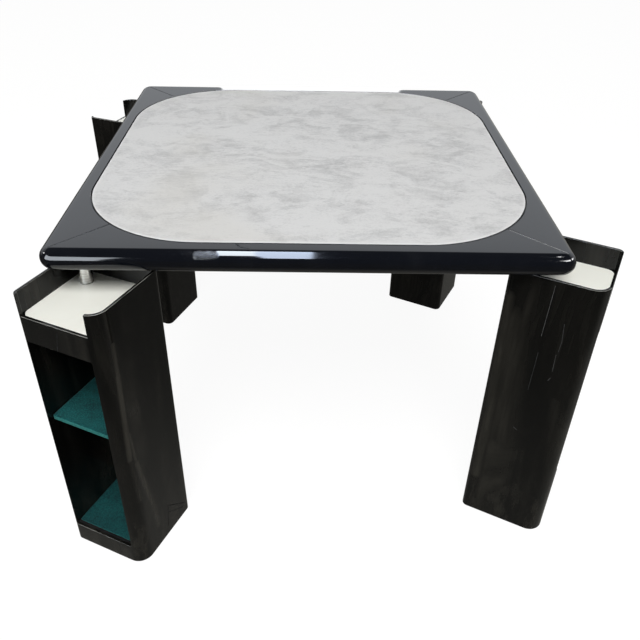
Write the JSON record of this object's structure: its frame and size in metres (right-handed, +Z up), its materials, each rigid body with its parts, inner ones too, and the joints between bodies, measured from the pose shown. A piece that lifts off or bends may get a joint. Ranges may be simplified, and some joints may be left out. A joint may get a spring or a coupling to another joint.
{
  "type": "game table",
  "caption": "Square game table with a framed playing field and hollow storage legs that swivel out on corner pins, with an open tray on top of each.",
  "frame": {"origin": "on the floor, under the middle of the table top", "axes": "+X to the right and +Y to the back as seen from the front edge, +Z up"},
  "size_m": [1.2596, 1.2485, 0.7348],
  "materials": {
    "black_lacquer": "black polyester lacquer, polished to a gloss, over board",
    "suede": "warm light grey suede, brushed",
    "dark_board": "plywood, stained near black",
    "cream_laminate": "cream laminate on plywood, satin",
    "teal_felt": "teal wool felt",
    "steel": "turned and polished",
    "bearing_bronze": "turned sintered bronze",
    "black_plastic": "moulded nylon, matt"
  },
  "bodies": {
    "table_top": {"frame_rail_back": "black_lacquer", "frame_rail_left": "black_lacquer", "frame_rail_front": "black_lacquer", "frame_rail_right": "black_lacquer", "top_core": "dark_board", "playing_field_board": "dark_board", "playing_field_suede": "suede", "mitre_splines": "dark_board", "flange_screws": "steel", "retaining_nuts": "steel", "pivot_pin_front_left": "steel", "pivot_pin_front_right": "steel", "pivot_pin_back_right": "steel", "pivot_pin_back_left": "steel"},
    "leg_front_left": {"leg_front_left_shell": "black_lacquer", "leg_front_left_tray": "cream_laminate", "leg_front_left_bearing_board": "dark_board", "leg_front_left_bush": "bearing_bronze", "leg_front_left_shelf": "teal_felt", "leg_front_left_shelf_felt": "teal_felt", "leg_front_left_shelf_cleats": "dark_board", "leg_front_left_base_board": "dark_board", "leg_front_left_floor_felt": "teal_felt", "leg_front_left_glides": "black_plastic"},
    "leg_front_right": {"leg_front_right_shell": "black_lacquer", "leg_front_right_tray": "cream_laminate", "leg_front_right_bearing_board": "dark_board", "leg_front_right_bush": "bearing_bronze", "leg_front_right_shelf": "teal_felt", "leg_front_right_shelf_felt": "teal_felt", "leg_front_right_shelf_cleats": "dark_board", "leg_front_right_base_board": "dark_board", "leg_front_right_floor_felt": "teal_felt", "leg_front_right_glides": "black_plastic"},
    "leg_back_right": {"leg_back_right_shell": "black_lacquer", "leg_back_right_tray": "cream_laminate", "leg_back_right_bearing_board": "dark_board", "leg_back_right_bush": "bearing_bronze", "leg_back_right_shelf": "teal_felt", "leg_back_right_shelf_felt": "teal_felt", "leg_back_right_shelf_cleats": "dark_board", "leg_back_right_base_board": "dark_board", "leg_back_right_floor_felt": "teal_felt", "leg_back_right_glides": "black_plastic"},
    "leg_back_left": {"leg_back_left_shell": "black_lacquer", "leg_back_left_tray": "cream_laminate", "leg_back_left_bearing_board": "dark_board", "leg_back_left_bush": "bearing_bronze", "leg_back_left_shelf": "teal_felt", "leg_back_left_shelf_felt": "teal_felt", "leg_back_left_shelf_cleats": "dark_board", "leg_back_left_base_board": "dark_board", "leg_back_left_floor_felt": "teal_felt", "leg_back_left_glides": "black_plastic"}
  },
  "joints": [
    {"name": "front_left_swivel", "type": "hinge", "parent": "table_top", "child": "leg_front_left", "pos_m": [-0.436, -0.436, 0.61], "axis": [0, 0, 1], "range_deg": [-65.5, 114.5]},
    {"name": "front_right_swivel", "type": "hinge", "parent": "table_top", "child": "leg_front_right", "pos_m": [0.436, -0.436, 0.61], "axis": [0, 0, 1], "range_deg": [-62, 118]},
    {"name": "back_right_swivel", "type": "hinge", "parent": "table_top", "child": "leg_back_right", "pos_m": [0.436, 0.436, 0.61], "axis": [0, 0, 1], "range_deg": [-62, 118]},
    {"name": "back_left_swivel", "type": "hinge", "parent": "table_top", "child": "leg_back_left", "pos_m": [-0.436, 0.436, 0.61], "axis": [0, 0, 1], "range_deg": [-68, 112]}
  ]
}
